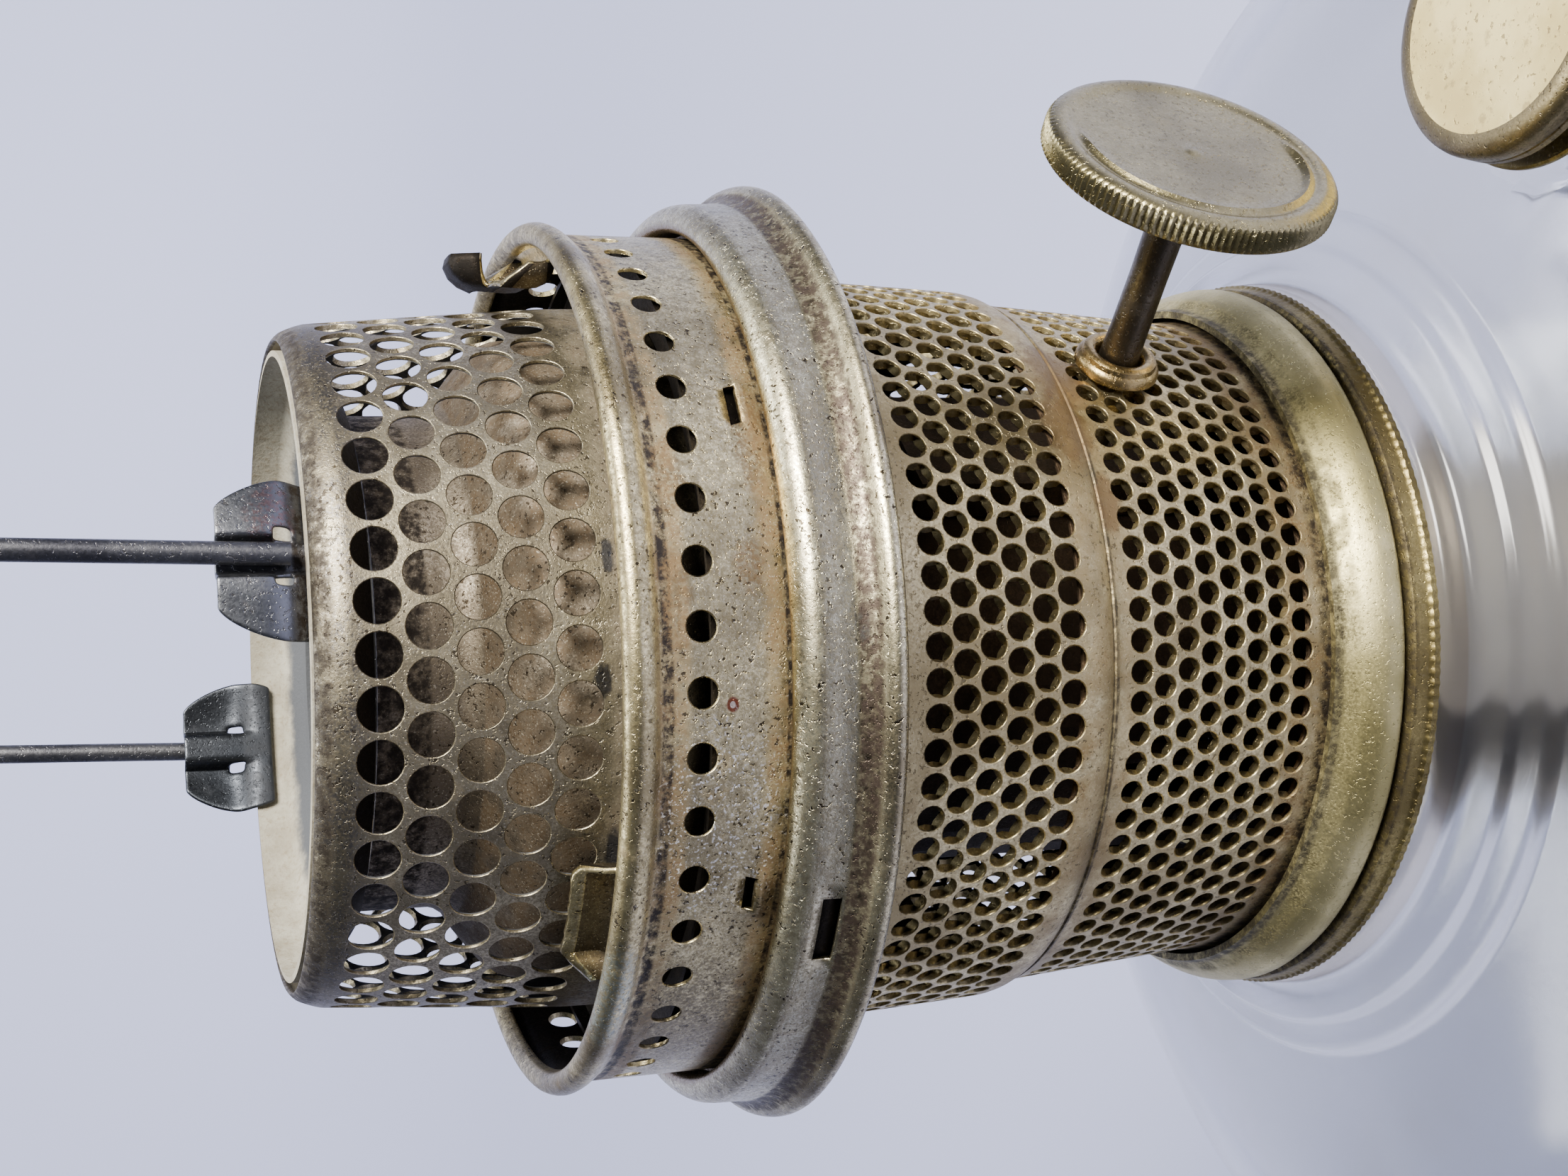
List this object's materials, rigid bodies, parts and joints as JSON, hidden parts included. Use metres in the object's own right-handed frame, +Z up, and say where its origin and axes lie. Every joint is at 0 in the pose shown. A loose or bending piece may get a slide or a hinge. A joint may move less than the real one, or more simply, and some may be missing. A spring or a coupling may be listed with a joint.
{
  "type": "mantle oil lamp",
  "caption": "Round-wick mantle oil lamp: perforated metal burner with knob, cone, gallery and wire mantle frame, screwed into a clear glass font with a side filler.",
  "frame": {"origin": "on the surface the lamp stands on, under the burner's axis", "axes": "+Z up along the burner's axis, -Y towards the viewer of the picture turned upright, +X to the lamp's right, where the knob and filler are"},
  "size_m": [0.176, 0.176, 0.2875],
  "materials": {
    "clear_glass": "clear pressed glass, glossy",
    "aged_nickel": "aged nickel plate over brass, pitted and champagne coloured",
    "tan_nickel": "heat-tanned nickel plate, stained orange-brown",
    "olive_brass": "worn plate over brass, olive with green tarnish",
    "inner_brass": "dull brass, brown with age",
    "dark_steel": "dark heat-blued steel",
    "blued_steel": "blue-grey steel with purple-brown heat tint",
    "brown_plaster": "brown collar plaster",
    "cork": "pressed cork",
    "cotton": "woven cotton wick"
  },
  "bodies": {
    "font": {"glass_font": "clear_glass", "font_collar": "olive_brass", "collar_plaster": "brown_plaster", "filler_neck": "aged_nickel"},
    "filler_lid": {"filler_cap": "aged_nickel", "filler_gasket": "cork"},
    "burner": {"burner_base": "olive_brass", "burner_pan": "inner_brass", "burner_basket": "tan_nickel", "burner_flange": "aged_nickel", "outer_wick_tube": "inner_brass", "inner_wick_tube": "inner_brass", "air_duct_left": "inner_brass", "air_duct_right": "inner_brass", "shaft_bushing": "inner_brass", "pinion_housing": "inner_brass"},
    "spreader": {"flame_spreader": "dark_steel"},
    "raiser": {"wick_knob": "aged_nickel", "knob_shaft": "dark_steel", "wick_pinion": "inner_brass"},
    "carriage": {"wick": "cotton", "wick_carrier": "inner_brass", "wick_rack": "inner_brass"},
    "gallery": {"gallery_band": "aged_nickel", "gallery_floor": "aged_nickel", "outer_cone": "aged_nickel", "inner_cone": "aged_nickel"},
    "mantle_holder": {"mantle_ring": "dark_steel", "mantle_clip_near": "blued_steel", "mantle_clip_far": "blued_steel", "mantle_arch_wire": "dark_steel"}
  },
  "joints": [
    {"name": "burner_turn", "type": "hinge", "parent": "font", "child": "burner", "pos_m": [0, 0, 0.10922], "axis": [0, 0, 1], "range_deg": [0, 360]},
    {"name": "cap_lift", "type": "slide", "parent": "font", "child": "filler_lid", "axis": [0.1114, -0.0834, 0.9903], "range_m": [0, 0.012]},
    {"name": "gallery_turn", "type": "hinge", "parent": "burner", "child": "gallery", "pos_m": [0, 0, 0.15862], "axis": [0, 0, 1], "range_deg": [0, 20]},
    {"name": "mantle_lift", "type": "slide", "parent": "gallery", "child": "mantle_holder", "axis": [0, 0, 1], "range_m": [0, 0.025]},
    {"name": "spreader_lift", "type": "slide", "parent": "burner", "child": "spreader", "axis": [0, 0, 1], "range_m": [0, 0.02]},
    {"name": "knob_turn", "type": "hinge", "parent": "burner", "child": "raiser", "pos_m": [0, 0, 0.12777], "axis": [0.729, -0.6845, 0], "range_deg": [0, 180]},
    {"name": "wick_lift", "type": "slide", "parent": "burner", "child": "carriage", "axis": [0, 0, 1], "range_m": [0, 0.0095]}
  ],
  "couplings": [
    {"joint": "wick_lift", "follows": "knob_turn", "m_per_rad": 0.003}
  ]
}
